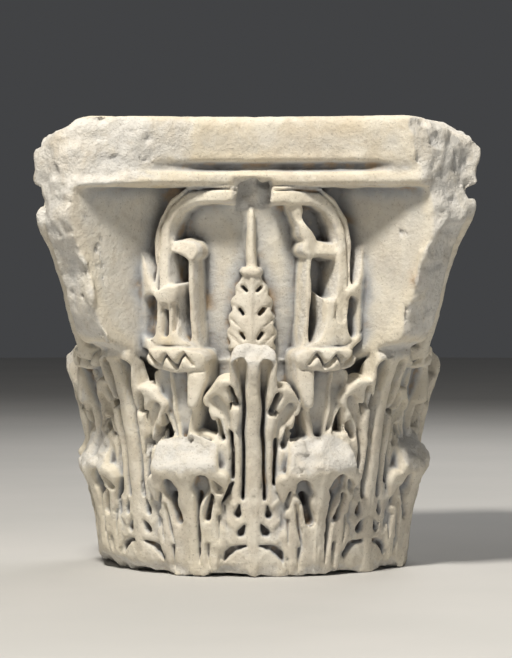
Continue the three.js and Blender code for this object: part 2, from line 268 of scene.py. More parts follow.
def calyx_relief(s, z, centre, mirror):
    """A calyx: the ridges of its stem, its lip, and the sheath of upright leaves above it.

    t is the distance from the calyx's middle, positive towards the middle of the side.
    """
    t = (s - centre) * mirror
    # The stem: a smooth strip on the inner side and two ridges, which close together downwards.
    strip = path(t, z, ((18, 204), (18, 165), (9, 135), (8, 110)), (8.0, 6.8, 6.5, 6.0))
    ridges = path(t, z, ((-27, 204), (-23, 176), (-10, 140), (-6, 110)), (3.4, 3.2, 3.4, 3.6))
    ridges = np.minimum(ridges, path(t, z, ((-7, 204), (-8, 168), (-2, 138)), (3.0, 3.2, 3.6)))
    stem_half = curve(((110, 12), (150, 20), (185, 28), (205, 31)), z)
    stem_middle = curve(((110, 1), (150, 1), (185, -1), (205, -1)), z)
    stem = np.abs(t - stem_middle) - stem_half
    front = curve(((110, 164), (150, 170), (190, 178), (206, 183)), z)
    shape = front - 10.0 + 6.0 * ease(-stem / 10.0)
    shape = raised(shape, strip, 9.0, 4.5)
    shape = raised(shape, ridges, 8.0, 3.0)
    stem = np.maximum(stem, np.maximum(z - 210.0, 108.0 - z))
    # The lip: a bulging band with a zigzag of folded leaflets.
    bulge = np.clip(1.0 - ((t - 1.0) / 37.0) ** 2, 0.0, 1.0)
    lip = path(t, z, ((-23, 219), (0, 218), (24, 219)), (11.0, 12.5, 11.5))
    face = 182.0 + 13.0 * np.sqrt(bulge) + 2.0 * ease((z - 212.0) / 8.0)
    face = sunk(face, np.abs(z - 208.5) - 1.2, 2.0, 1.2)
    teeth = ((-27, 224), (-15, 211), (-7, 224), (4, 211), (12, 225), (21, 214))
    face = sunk(face, path(t, z, teeth, (2.4, 3.4, 2.6, 3.4, 2.6, 2.2)), 9.0, 2.2)
    for place in (-20, -1, 15):
        face = raised(face, rod(t, z, (place, 214), (place, 227), 4.5, 3.0), 2.0, 4.0)
    collar = path(t, z, ((25, 219), (24, 200), (18, 176)), (10.5, 10.5, 7.5))
    swell = 182.0 + 8.0 * np.sqrt(np.clip(1.0 - ((t - 20.0) / 16.0) ** 2, 0.0, 1.0))
    swell = sunk(swell, np.abs(z - 207.5) - 0.8, 1.6, 0.8)
    # The sheath: upright ribs with deep hollows between them and a ragged top.
    outer = ((224, -33), (240, -50), (262, -60), (298, -58), (316, -50), (332, -44))
    left = curve(outer if mirror > 0 else ((224, -31), (246, -46), (300, -47), (330, -43)), z)
    left = left + 2.5 * noise(t, z, 0.0, 12.0, 33)
    sheath = np.maximum(left - t, t - curve(((224, 30), (240, 10), (300, 9), (330, 7)), z))
    if mirror > 0:
        top = curve(((-50, 326), (-38, 329), (-28, 314), (-24, 297), (-18.5, 289), (-12, 292), (-5.5, 295), (5.5, 297), (16, 300)), t)
        hollows = (((-29, 247), (-27, 276), 8.0, 8.5), ((-10, 244), (-10, 271), 4.0, 4.8), ((-1, 247), (0, 274), 2.4, 3.0), ((5.5, 277), (6.5, 292), 2.2, 2.4))
    else:
        top = curve(((-60, 336), (-48, 338), (-38, 330), (-32, 300), (-24, 292), (-12, 284), (-2, 280), (4, 286), (12, 300)), t)
        hollows = (((-30, 246), (-28, 276), 6.0, 8.0), ((-14, 262), (-16, 290), 7.0, 6.0), ((1.5, 259), (1.5, 296), 1.8, 2.8), ((-4, 297), (2, 320), 4.0, 8.0))
    sheath = np.maximum(sheath, np.maximum(z - top, 226.0 - z))
    wall = 190.0 - 0.006 * (t + 14.0) ** 2 + 3.0 * ease((z - 262.0) / 30.0)
    for start, end, start_r, end_r in hollows:
        wall = sunk(wall, rod(t, z, start, end, start_r, end_r), 14.0, 3.0)
    wall = sunk(wall, path(t, z, ((-45, 250), (-20, 233), (20, 231)), (1.5, 1.5, 1.5)), 4.0, 2.5)
    return ((shape, stem), (wall, sheath), (face, lip), (swell, collar))


def band_relief(s, z, mirror):
    """The helix: a channelled band that climbs from the calyx and arches to the middle of the side."""
    t = s * -mirror
    foot = 240 if mirror < 0 else 276
    centre = ((90, foot), (94, 285), (95.5, 335), (91, 355), (80, 372), (64, 381), (46, 383), (18, 382))
    away = path(t, z, centre, (9, 11, 10.5, 10.5, 10.5, 10.5, 10.5, 10.5))
    groove = path(t, z, ((99, 285), (99, 318), (95.5, 349), (85, 371), (66, 386), (40, 388), (18, 387)), (1.8,) * 7)
    shape = np.full_like(t, 187.5)
    shape = sunk(shape, groove, 5.0, 2.0)
    inner = path(t, z, ((84, 290), (85, 332), (80, 354), (71, 367), (55, 373), (18, 372)), (0.5,) * 6)
    shape = sunk(shape, inner - 1.5, 4.0, 5.0)
    return ((shape, away),)


def strip_relief(s, z, mirror):
    """The upright that carried a helix's lost spiral, the stump of the spiral, and on one side its strut."""
    t = s * -mirror
    place = 63.5 if mirror > 0 else 57.0
    shape = 178.0 + 4.0 * ease((z - 228.0) / 60.0) - 0.03 * (t - place) ** 2
    away = path(t, z, ((place - 2, 226), (place, 260), (place + 1, 322)), (7.5, 6.0, 6.0))
    if mirror > 0:
        stump = rod(t, z, (64, 326), (79, 330), 10.5, 9.5)
        strut = stump
    else:
        stump = rod(t, z, (54, 329), (84, 327), 9.5, 9.0)
        strut = path(t, z, ((40, 378), (48, 357), (58, 338)), (8.0, 7.5, 9.0))
    rough = 2.5 * noise(t, z, 0.0, 9.0, 31)
    return ((shape, away), (184.0 + rough + 0.0 * t, np.minimum(stump, strut) + rough))


def bud_relief(s, z):
    """The small upright leaf, its collar and its stalk, on the middle of the side."""
    side = np.abs(s)
    half = curve(((228, 30), (244, 32), (262, 29), (280, 25), (292, 19), (300, 13), (306, 10)), z)
    serration = 4.5 * (np.abs(np.sin((z - 226.0 - 0.35 * side) * math.pi / 17.0)) - 1.0) * ease((side - 8.0) / 14.0)
    away = np.maximum(side - half - serration, np.maximum(z - 306.0, 226.0 - z))
    shape = 168.0 - 0.010 * s * s
    shape = raised(shape, side - 3.0, 1.6, 2.0)
    for foot, low, high in ((8, 240, 245), (9.5, 264, 269), (6, 287, 291)):
        shape = sunk(shape, rod(side, z, (foot, low), (foot + 4.0, high), 2.6, 2.8), 10.0, 1.8)
    for low in (229, 246, 263, 280):
        shape = sunk(shape, rod(side, z, (9, low + 2), (28, low + 16), 1.0, 2.0), 3.0, 1.8)
    collar = path(s, z, ((-9, 306.5), (9, 306.5)), (5.2, 5.2))
    stalk = rod(s, z, (0, 308), (-1, 372), 7.5, 4.2)
    ring = 172.0 - 0.012 * s * s
    shaft = 167.0 - 0.05 * s * s
    return ((shape, away), (shaft, stalk), (ring, collar))


def side_map(facing):
    """One side's map of radius: the greatest of its forms at each angle and height, with their seams softened."""
    half = math.pi / 4 * BAND_R
    s_line = np.arange(-half, half, MAP_STEP)
    z_line = np.arange(MAP_LOW, MAP_HIGH, MAP_STEP)
    s, z = np.meshgrid(s_line, z_line, indexing="ij")
    wobble = 0.9 * noise(s, z, facing * 40.0, 22.0, 5)
    lift = 0.9 * noise(s, z, facing * 40.0, 25.0, 6)
    s1 = s + wobble
    z1 = z + lift
    radius = bell_and_web(s, z)
    forms = list(bud_relief(s1 + 2.0, z1))
    for mirror, centre in ((1, -80.0), (-1, 75.0)):
        forms += [*band_relief(s1, z1, mirror), *strip_relief(s1, z1, mirror), *calyx_relief(s1, z1, centre, mirror)]
    for shape, away in forms:
        inside = ease(-away / 2.2)
        radius = np.where(away < 0, np.maximum(radius, radius + (shape - radius) * inside), radius)
    return radius


def round_map():
    """The four sides' maps, in order round the axis from the middle of the +X side's end to the -X side's."""
    return np.concatenate([side_map(side) for side in range(4)], axis=0)


# ------------------------------------------------------------------------------------------------ leaves
LEAF_WIDE = 72.0  # half the width of a leaf's relief map


def leaf_grid(length):
    u = np.arange(-12.0, length, MAP_STEP)
    v = np.arange(-LEAF_WIDE, LEAF_WIDE + MAP_STEP, MAP_STEP)
    return np.meshgrid(u, v, indexing="ij")


def upper_relief(length):
    """Relief and outline of a leaf of the upper row. u runs up the leaf and v across it."""
    u, v = leaf_grid(length)
    relief = 6.0 - 0.0016 * v * v
    outline = rod(v, u, (0, -12), (0, 92), 54, 36)
    outline = np.minimum(outline, rod(v, u, (0, 90), (0, length), 21, 19))
    for side, drop in ((-1, 0.0), (1, 8.0)):
        w = v * side
        h = u + drop
        outline = np.minimum(outline, path(w, h, ((12, 187), (27, 187), (37, 179)), (11, 12, 9)))
        outline = np.minimum(outline, path(w, h, ((18, 96), (24, 138), (31, 168)), (11, 11, 9)))
        outline = np.minimum(outline, path(w, h, ((22, 96), (40, 130), (53, 138)), (22, 14, 9)))
        # The upper lobe is a spoon, which runs down into a drilled channel.
        spoon = ((35, 179), (30, 171), (24.5, 158), (21.5, 143), (20.5, 128))
        relief = sunk(relief, path(w, h, spoon, (7.5, 8.5, 6.0, 4.0, 2.6)), 8.0, 5.5)
        relief = sunk(relief, path(w, h, ((21.5, 146), (20.3, 125), (20.2, 102)), (2.4, 2.3, 2.1)), 14.0, 1.4)
        # The lower lobe is a shallow dish.
        relief = sunk(relief, path(w, h, ((49, 144), (41, 132), (36, 118)), (8.0, 6.5, 3.0)), 5.0, 5.0)
        # A channel on each side of the rib, which opens out under the tip.
        channel = ((10.6, 80), (9.6, 130), (9.0, 180), (9.6, 204), (10.6, 215))
        relief = sunk(relief, path(w, u, channel, (1.9, 2.1, 2.7, 4.4, 5.6)), 17.0, 1.4)
        # Drilled slots between the lobes.
        relief = sunk(relief, path(w, h, ((21.5, 191), (19, 182), (16.5, 174)), (2.6, 2.6, 2.9)), 18.0, 1.2)
        relief = sunk(relief, rod(w, h, (33.5, 157), (29.5, 140), 2.6, 2.9), 18.0, 1.2)
        # The eye over the leaf's foot, and the pierced leaflets beside the rib.
        relief = sunk(relief, path(w, u, ((20, 97), (27, 87), (34, 73)), (2.4, 6.2, 2.4)), 9.0, 3.5)
        relief = sunk(relief, rod(w, u, (14, 75), (16, 64), 1.2, 4.4), 10.0, 2.2)
        relief = sunk(relief, rod(w, u, (7.5, 56), (12.5, 46.5), 1.0, 5.0), 10.0, 2.2)
        relief = sunk(relief, path(w, u, ((7, 33), (20, 31), (28, 25), (33, 14)), (2.4, 4.4, 4.8, 2.0)), 7.0, 2.8)
        relief = sunk(relief, rod(w, u, (36, 34), (41, 18), 1.8, 3.2), 8.0, 2.0)
        # Ridges of the leaflets between them, and folds that part the leaf's foot into strips.
        for start, end in (((7, 62), (24, 78)), ((7, 40), (26, 58)), ((6, 18), (27, 40))):
            relief = raised(relief, rod(w, u, start, end, 1.6, 3.2), 1.6, 2.4)
        for start, end in (((27, 42), (29, 72)), ((46, 60), (52, 96)), ((44, 6), (46, 44))):
            relief = sunk(relief, rod(w, h, start, end, 0.8, 1.8), 3.0, 2.2)
        relief = raised(relief, path(w, h, ((15, 84), (15, 150), (19, 176)), (2.2, 2.2, 1.6)), 1.2, 2.4)
        relief = raised(relief, path(w, h, ((26, 100), (26, 128), (30, 146)), (2.4, 2.4, 1.6)), 1.4, 2.4)
    relief = raised(relief, rod(v, u, (0, -12), (0, 212), 6.2, 5.2), 1.4, 2.0)
    relief = sunk(relief, rod(v, u, (0, 30), (0, 84), 0.7, 0.7), 1.2, 0.8)
    return relief, outline


def lower_relief(length):
    """Relief and outline of a leaf of the lower row."""
    u, v = leaf_grid(length)
    relief = 6.0 - 0.0030 * v * v
    outline = rod(v, u, (0, -12), (0, 92), 33, 34)
    outline = np.minimum(outline, rod(v, u, (0, 92), (0, length), 35, 28))
    for side, drop in ((-1, 2.0), (1, -2.0)):
        w = v * side
        h = u + drop
        outline = np.minimum(outline, rod(w, h, (20, 66), (33, 94), 10, 10))
        outline = np.minimum(outline, rod(w, h, (22, 20), (29, 44), 10, 9))
        # A hollow on each side of the rib, under the broken tip, which narrows into a channel.
        relief = sunk(relief, path(w, h, ((17.5, 96), (16, 88), (12.5, 73)), (8.5, 10.5, 3.4)), 11.0, 5.0)
        if side > 0:
            relief = sunk(relief, path(w, h, ((12.5, 80), (11.0, 60), (10.5, 38), (10, 12)), (3.2, 3.0, 2.6, 1.4)), 8.0, 2.4)
            relief = sunk(relief, rod(w, h, (25, 80), (20.5, 58), 2.8, 3.6), 14.0, 1.6)
            relief = sunk(relief, rod(w, h, (27, 96), (33, 86), 2.0, 5.0), 8.0, 2.5)
        else:
            relief = sunk(relief, rod(w, h, (16, 82), (9, 60), 4.6, 5.4), 14.0, 2.6)
            relief = sunk(relief, path(w, h, ((24, 76), (20, 52), (15, 30)), (3.0, 3.6, 1.6)), 6.0, 3.0)
            relief = sunk(relief, rod(w, h, (29, 88), (33, 72), 3.0, 4.4), 8.0, 2.5)
        relief = sunk(relief, rod(w, h, (29.5, 34), (31.5, 60), 1.2, 2.6), 6.0, 2.0)
        relief = sunk(relief, rod(w, h, (20, 2), (19, 32), 1.0, 3.4), 4.5, 2.4)
        relief = sunk(relief, rod(w, h, (30, 4), (31, 22), 1.2, 2.8), 5.0, 2.2)
        relief = raised(relief, path(w, h, ((15, 20), (16.5, 60), (22, 84)), (2.2, 2.4, 1.6)), 1.4, 2.2)
    relief = raised(relief, rod(v, u, (0, -12), (0, 118), 5.0, 4.2), 1.8, 2.5)
    relief = sunk(relief, rod(v, u, (0, 0), (0, 70), 0.7, 1.2), 1.6, 1.2)
    return relief, outline


class Leaf:
    """A relief carried up a guide. Its section table gives, for a radius and height, the place along the guide
    (u) and the height off it (n), from the guide's nearest point. u is the height above the bed while the guide
    climbs, and goes on at six tenths of the guide's length where it bends over."""

    def __init__(self, guide, relief_of):
        points = smooth_line(guide, 400)
        steps = np.hypot(*np.diff(points, axis=0).T)
        rises = np.maximum(np.diff(points[:, 1]), 0.6 * steps)
        along = guide[0][1] + np.concatenate([[0.0], np.cumsum(rises)])
        tangents = np.gradient(points, axis=0)
        tangents /= np.hypot(tangents[:, 0], tangents[:, 1])[:, None]
        self.r0, self.z0 = 120.0, -14.0
        radius, height = np.meshgrid(np.arange(self.r0, 262.0), np.arange(self.z0, 262.0), indexing="ij")
        best = np.full(radius.shape, 1e9)
        self.u = np.zeros(radius.shape)
        self.n = np.zeros(radius.shape)
        for (pr, pz), (tr, tz), u in zip(points, tangents, along):
            dr, dz = radius - pr, height - pz
            away = np.hypot(dr, dz)
            near = away < best
            best[near] = away[near]
            self.u[near] = u
            side = np.sign(dr * tz - dz * tr)
            self.n[near] = (away * side)[near]
        self.u0 = along[0]
        self.relief, self.outline = relief_of(along[-1] + 10.0)
        slope = np.hypot(*np.gradient(self.relief, MAP_STEP))
        self.ease = 1.0 / np.sqrt(1.0 + np.minimum(slope, 2.5) ** 2)
        self.end = along[-1]

    def field(self, phi, rho, z, angle, back, bow, tip, seed):
        """Field of one leaf at an angle: within its outline, below its relief and above its back."""
        turn = (phi - angle + math.pi) % (2 * math.pi) - math.pi
        across = turn * WRAP_R
        rho, z, across = np.broadcast_arrays(rho, z, across)
        u = read_map(self.u, rho - self.r0, z - self.z0)
        n = read_map(self.n, rho - self.r0, z - self.z0)
        u_shift = u + 1.6 * noise(across, u, seed * 31.0, 24.0, 11)
        v_shift = across + 1.3 * noise(across, u, seed * 37.0, 21.0, 12)
        row = (u_shift - self.u0) / MAP_STEP
        column = (v_shift + LEAF_WIDE) / MAP_STEP
        height = read_map(self.relief, row, column)
        gentle = read_map(self.ease, row, column)
        edge = read_map(self.outline, row, column)
        stone = cut((n - height) * gentle, edge, 3.0)
        stone = cut(stone, u - self.end, 4.0)
        return cut(stone, -n - back + bow * across * across * ease((u - tip) / 12.0), 4.0)


def smooth_line(points, count):
    """Points on a smooth curve through the given ones (Catmull-Rom, by cubic blends of four neighbours)."""
    p = np.array(points, float)
    p = np.vstack([2 * p[0] - p[1], p, 2 * p[-1] - p[-2]])
    places = np.linspace(0, len(points) - 1 - 1e-6, count)
    cell = places.astype(int)
    t = (places - cell)[:, None]
    a, b, c, d = (p[cell + k] for k in range(4))
    return 0.5 * (2 * b + (c - a) * t + (2 * a - 5 * b + 4 * c - d) * t**2 + (3 * b - a - 3 * c + d) * t**3)


# ------------------------------------------------------------------------------------------------ the carving
def polar_window(field, angle, reach, r_low, r_high, z_low, z_high):
    """The part of the field round a point at an angle: open grids and the polar places of its samples."""
    corners = [
        (r * math.sin(angle + d), -r * math.cos(angle + d)) for r in (r_low, r_high) for d in (-reach, 0.0, reach)
    ]
    xs, ys = zip(*corners)
    spans, (x, y, z) = field.window((min(xs), min(ys), z_low), (max(xs), max(ys), z_high))
    return spans, np.arctan2(x, -y), np.hypot(x, y), z


def carve_round(field):
    """Lays the round map into the field, a slab of heights at a time."""
    radius = round_map()
    half_turn = math.pi / 4
    slope_s, slope_z = np.gradient(radius, MAP_STEP)
    gentle = 1.0 / np.sqrt(1.0 + np.minimum(slope_s**2 + slope_z**2, 6.0))
    turns = radius.shape[0]
    x, y = np.meshgrid(field.axes[0], field.axes[1], indexing="ij")
    phi = np.arctan2(x, -y)
    rho = np.hypot(x, y).astype(np.float32)
    row = ((phi + half_turn) % (2 * math.pi)) / (2 * math.pi) * turns
    for k, z in enumerate(field.axes[2]):
        if z > MAP_HIGH - 8:
            break
        column = (z - MAP_LOW) / MAP_STEP
        wall = read_map(radius, row, np.full_like(row, column))
        field.values[:, :, k] = (rho - wall) * read_map(gentle, row, np.full_like(row, column))


def lost_tip(phi, rho, z, angle, distance, seed):
    """The uneven face where a leaf's tip has come away, as a field: positive beyond the face."""
    turn = (phi - angle + math.pi) % (2 * math.pi) - math.pi
    across = turn * WRAP_R
    plane = 0.87 * rho * np.cos(turn) + 0.49 * z - distance + 0.004 * across * across
    return plane + 4.0 * noise(across, rho, z, 17.0, 80 + seed) + 1.5 * noise(across, rho, z, 7.0, 90 + seed)


def carve_leaves(field):
    """Joins every leaf to the stone, less its lost tip. Returns the whole leaves and their places."""
    rows = (
        (Leaf(UPPER_GUIDE, upper_relief), UPPER_SCARS, 18.0, 0.020, 206.0, 252.0),
        (Leaf(LOWER_GUIDE, lower_relief), LOWER_SCARS, 33.0, 0.010, 104.0, 160.0),
    )
    whole = []
    for leaf, scars, back, bow, tip, top in rows:
        for number, (degrees, distance) in enumerate(scars):
            angle = math.radians(degrees)
            spans, phi, rho, z = polar_window(field, angle, 0.42, 128.0, 222.0, -12.0, top)
            stone = leaf.field(phi, rho, z, angle, back, bow, tip, number)
            kept = cut(stone, lost_tip(phi, rho, z, angle, distance, number), 5.0)
            field.values[spans] = join(field.values[spans], kept, 2.5)
            whole.append((spans, stone))
    return whole


def carve_abacus(field):
    """The abacus: each side is y = -(middle + sag (x / half)^2), moved out or in by its moulding's profile.

    Where the moulding is worn down, its profile is blended into a plain one.
    """
    crisp = (
        (380, -30), (389.5, -14), (391, -6), (394, 0), (400, 1.5), (404.5, 0), (407.5, -8), (412.5, -8),
        (416, -1), (425, 1), (440, 3), (456, 4), (460, 3),
    )
    plain = ((380, -30), (389.5, -14), (392, -7), (398, -2.5), (408, -4), (418, -1), (440, 3), (456, 4), (460, 3))
    spans, (x, y, z) = field.window((-260, -260, 382), (260, 260, HEIGHT + 12))
    plan = None
    for outward, along in ((-y, x), (x, y), (y, x), (-x, y)):
        share = along / ABACUS_HALF
        wall = outward - (ABACUS_MID + ABACUS_SAG * share * share)
        wall = wall / np.sqrt(1.0 + (2.0 * ABACUS_SAG * share / ABACUS_HALF) ** 2)
        plan = wall if plan is None else np.maximum(plan, wall)
    worn = ease((70.0 - x + 0.5 * y) / 130.0 + 0.25 * noise(x, y, 0.0 * z, 40.0, 15))
    worn = np.maximum(worn, ease((np.hypot(x, y) - 222.0) / 30.0))
    stone = plan - curve(crisp, z) * (1.0 - worn) - curve(plain, z) * worn
    ragged = 2.0 * noise(x, y, z, 16.0, 16) + 1.0 * noise(x, y, z, 7.0, 17)
    stone = cut(stone, z - HEIGHT, 9.0 + 2.5 * ragged)
    stone = cut(stone, ABACUS_FOOT - z, 1.5)
    field.values[spans] = join(field.values[spans], stone, 5.0)


# The stem of a corner volute: along the horn, across it, height and half thickness, up to its broken end.
STEM = ((184, 58, 226, 8), (198, 56, 262, 10), (216, 46, 295, 10), (246, 33, 335, 9), (276, 25, 366, 8), (298, 20, 388, 7))


def bar_chain(place, chain):
    """Distance to a chain of tapered bars in space, through points that end with the half thickness there."""
    away = 50.0
    for start, end in zip(chain[:-1], chain[1:]):
        step = np.array(end[:3], float) - np.array(start[:3], float)
        gaps = [axis - origin for axis, origin in zip(place, start)]
        share = np.clip(sum(gap * part for gap, part in zip(gaps, step)) / (step @ step), 0.0, 1.0)
        reach = np.sqrt(sum((gap - part * share) ** 2 for gap, part in zip(gaps, step)))
        away = np.minimum(away, reach - (start[3] + (end[3] - start[3]) * share))
    return away


def carve_stems(field):
    """Lays a stem, a chain of tapered bars, on each flank of a horn's web, except the two in front, which have gone.
    """
    for horn in range(4):
        angle = math.pi / 4 + horn * math.pi / 2
        for flank in (-1, 1):
            if (horn, flank) in ((0, -1), (3, 1)):
                continue
            spans, phi, rho, z = polar_window(field, angle, 0.42, 165.0, 318.0, 214.0, 392.0)
            radial = rho * np.cos(phi - angle)
            lateral = rho * np.sin(phi - angle) * flank
            away = bar_chain((radial, lateral, z), STEM)
            field.values[spans] = join(field.values[spans], away, 6.0)


# Rough edges left on the two front webs where the stems have come away: along the horn, across it, height, half
# thickness.
TORN = ((228, 22, 236, 3), (246, 20, 262, 5), (250, 20, 300, 4), (262, 20, 325, 5), (276, 18, 345, 2))


def carve_torn_edges(field):
    """Ragged ridges along the front edge of each front web."""
    for horn, flank in ((0, -1), (3, 1)):
        angle = math.pi / 4 + horn * math.pi / 2
        spans, phi, rho, z = polar_window(field, angle, 0.42, 165.0, 318.0, 224.0, 356.0)
        place = (rho * np.cos(phi - angle), rho * np.sin(phi - angle) * flank, z)
        away = bar_chain(place, TORN)
        away = away + 4.0 * noise(rho, phi * 200.0, z, 13.0, 70 + horn) + 2.0 * noise(rho, phi * 200.0, z, 5.0, 75)
        field.values[spans] = join(field.values[spans], away, 4.0)


# ------------------------------------------------------------------------------------------------ the damage
# Each break: normal, distance from the origin, and the corners of the block that it is kept to.
BREAKS = (
    ((0.585, -0.811, 0.05), 293, (90, -400, 215), (400, -60, 560)),
    ((0.46, -0.116, 0.88), 504, (80, -400, 360), (400, 400, 560)),
    ((0.10, -0.995, 0.0), 185, (-400, -400, 368), (-30, -80, 560)),
    ((-0.753, -0.657, 0.0), 277, (-400, -400, 270), (-70, 30, 560)),
    ((-0.541, 0.0, 0.841), 479, (-400, -400, 350), (-70, 400, 560)),
    ((-0.921, 0.0, 0.389), 364, (-400, -400, 340), (-150, 400, 560)),
    ((-0.64, 0.77, 0.0), 296, (-400, 70, 270), (-70, 400, 560)),
    ((0.707, 0.707, 0.12), 338, (70, 70, 270), (400, 400, 560)),
    ((0.4, 0.2, 0.894), 512, (70, -30, 350), (400, 400, 560)),
    ((-0.658, -0.658, -0.366), 127, (-400, -400, 196), (-60, -60, 384)),
    ((0.658, -0.658, -0.366), 127, (60, -400, 196), (400, -60, 384)),
    ((-0.52, -0.22, -0.825), 82, (-320, -320, -120), (-20, 40, 90)),
    ((0.42, -0.3, -0.856), 92, (20, -320, -120), (320, 40, 90)),
)
BREAK_FADE = 36.0
# Leaves, as the angle of each one's middle and how far out the scar of its lost tip stands.
UPPER_SCARS = ((0, 282), (45, 288), (90, 274), (135, 296), (180, 284), (225, 284), (270, 276), (315, 286))
LOWER_SCARS = (
    (22.5, 220), (67.5, 218), (112.5, 219), (157.5, 242), (202.5, 228), (247.5, 223), (292.5, 217), (337.5, 219),
)
SOCKET_HALF = 19.0
SOCKET_FOOT = 369.0
SOCKET_TOP = 399.0
SOCKET_R = 160.0


def carve_sockets(field):
    """The hollows that the lost flowers have left in the middle of the four sides."""
    for side in range(4):
        angle = side * math.pi / 2
        spans, phi, rho, z = polar_window(field, angle, 0.22, 150.0, 222.0, 355.0, 425.0)
        across = ((phi - angle + math.pi) % (2 * math.pi) - math.pi) * BAND_R
        ragged = 2.5 * noise(across, rho, z, 9.0, 20 + side)
        box = np.maximum(np.abs(across) - SOCKET_HALF, np.maximum(z - SOCKET_TOP, SOCKET_FOOT - z))
        hollow = np.maximum(box, SOCKET_R - rho) + ragged
        field.values[spans] = cut(field.values[spans], -hollow, 3.0)


def break_off(field):
    """Takes away what lies beyond each break's plane, in its block. Two layers of noise make the faces uneven.

    The plane moves outwards near the block's sides, so that a break fades out there and leaves no step.
    """
    for seed, (normal, distance, low, high) in enumerate(BREAKS):
        facing = np.array(normal) / np.linalg.norm(normal)
        spans, (x, y, z) = field.window(low, high)
        plane = x * facing[0] + y * facing[1] + z * facing[2] - distance
        inset = [np.minimum(axis - a, b - axis) for axis, a, b in zip((x, y, z), low, high)]
        inset = np.minimum(np.minimum(inset[0], inset[1]), inset[2])
        plane = plane - BREAK_FADE * (1.0 - ease(inset / BREAK_FADE))
        near = np.abs(plane) < 14.0
        plane = plane + near * (3.2 * noise(x, y, z, 34.0, 40 + seed) + 1.1 * noise(x, y, z, 11.0, 60 + seed))
        field.values[spans] = cut(field.values[spans], plane, 8.0)


def wear(field, intact):
    """Rounds the edges that stand out, makes the whole surface a little uneven, and chips the foot's edge.

    A blurred field is higher than the field itself at an edge that stands out, so the greater of the two rounds
    such edges and leaves hollows as they were. Broken faces are the places that are well inside the whole stone,
    and are rougher: the greater of two noises gives them facets.
    """
    sharp = field.values.copy()
    field.soften(3)
    np.maximum(sharp, field.values - 0.45, out=field.values)
    band = np.nonzero(np.abs(field.values) < 4.0)
    x, y, z = (axis[index].astype(np.float32) for axis, index in zip(field.axes, band))
    broken = ease((-intact[band].astype(np.float32) - 1.0) / 2.5)
    uneven = 0.7 * noise(x, y, z, 19.0, 101) + 0.45 * noise(x, y, z, 8.0, 102) + 0.35 * noise(x, y, z, 4.0, 103)
    facets = np.maximum(noise(x, y, z, 26.0, 104), noise(x, 1.6 * y, z, 15.0, 105)) * 5.0 - 1.2
    foot = 0.42 * np.maximum(15.0 - z, 0.0) * ease(0.45 + noise(x, y, z, 24.0, 106) + 0.6 * noise(x, y, z, 9.0, 107))
    field.values[band] += uneven + broken * (facets + 1.1 * noise(x, y, z, 6.0, 108)) + foot


def trim_beds(field):
    """The sawn bed under the foot and the top of the abacus are flat."""
    z = field.axes[2].astype(np.float32)[None, None, :]
    np.maximum(field.values, -z, out=field.values)
    np.maximum(field.values, z - HEIGHT, out=field.values)


def carved_field(step):
    """The whole stone, and the field as it was before its breaks."""
    field = Field((-252, -252, -9), (252, 258, HEIGHT + 9), step)
    carve_round(field)
    leaves = carve_leaves(field)
    carve_stems(field)
    carve_torn_edges(field)
    carve_abacus(field)
    trim_beds(field)
    intact = field.values.astype(np.float16)
    for spans, stone in leaves:
        intact[spans] = np.minimum(intact[spans], stone)
    carve_sockets(field)
    break_off(field)
    wear(field, intact)
    trim_beds(field)
    return field, intact


# ------------------------------------------------------------------------------------------------ mesh
def surface_of(values):
    """Vertices and four-sided faces where the field crosses zero.

    Each cell that the surface passes through gets one vertex, at the mean of the crossings on its edges. Each grid
    edge that crosses zero gets one face, from the four cells round it.
    """
    inside = values < 0
    nx, ny, nz = inside.shape
    first = inside[:-1, :-1, :-1]
    every = first.copy()
    some = first.copy()
    for dx, dy, dz in np.ndindex(2, 2, 2):
        corner = inside[dx : nx - 1 + dx, dy : ny - 1 + dy, dz : nz - 1 + dz]
        every &= corner
        some |= corner
    crossed = some & ~every
    cells = np.flatnonzero(crossed)
    i, j, k = np.unravel_index(cells, crossed.shape)
    base = (i.astype(np.int64) * ny + j) * nz + k
    flat = values.ravel()
    corners = {c: flat[base + (c[0] * ny + c[1]) * nz + c[2]].astype(float) for c in np.ndindex(2, 2, 2)}
    total = np.zeros((len(cells), 3))
    count = np.zeros(len(cells))
    for axis in range(3):
        for p, q in np.ndindex(2, 2):
            start = [p, q]
            start.insert(axis, 0)
            end = [p, q]
            end.insert(axis, 1)
            a, b = corners[tuple(start)], corners[tuple(end)]
            hit = (a < 0) != (b < 0)
            share = np.where(hit, a / np.where(hit, a - b, 1.0), 0.0)
            point = np.tile(np.array(start, float), (len(cells), 1))
            point[:, axis] += share
            total += np.where(hit[:, None], point, 0.0)
            count += hit
    vertices = np.stack([i, j, k], axis=1) + total / count[:, None]
    numbers = np.full(crossed.shape, -1, np.int32)
    numbers.ravel()[cells] = np.arange(len(cells), dtype=np.int32)
    faces = []
    for axis in range(3):
        span = [slice(1, -1)] * 3
        span[axis] = slice(0, -1)
        low = inside[tuple(span)]
        span[axis] = slice(1, None)
        high = inside[tuple(span)]
        found = np.nonzero(low != high)
        place = [index + 1 for index in found]
        place[axis] = place[axis] - 1
        b, c = (axis + 1) % 3, (axis + 2) % 3

        def cell(db, dc):
            at = list(place)
            at[b] = at[b] - db
            at[c] = at[c] - dc
            return numbers[at[0], at[1], at[2]]

        quads = np.stack([cell(1, 1), cell(0, 1), cell(0, 0), cell(1, 0)], axis=1)
        turned = ~low[found]
        quads[turned] = quads[turned][:, ::-1]
        faces.append(quads)
    return vertices, np.concatenate(faces)


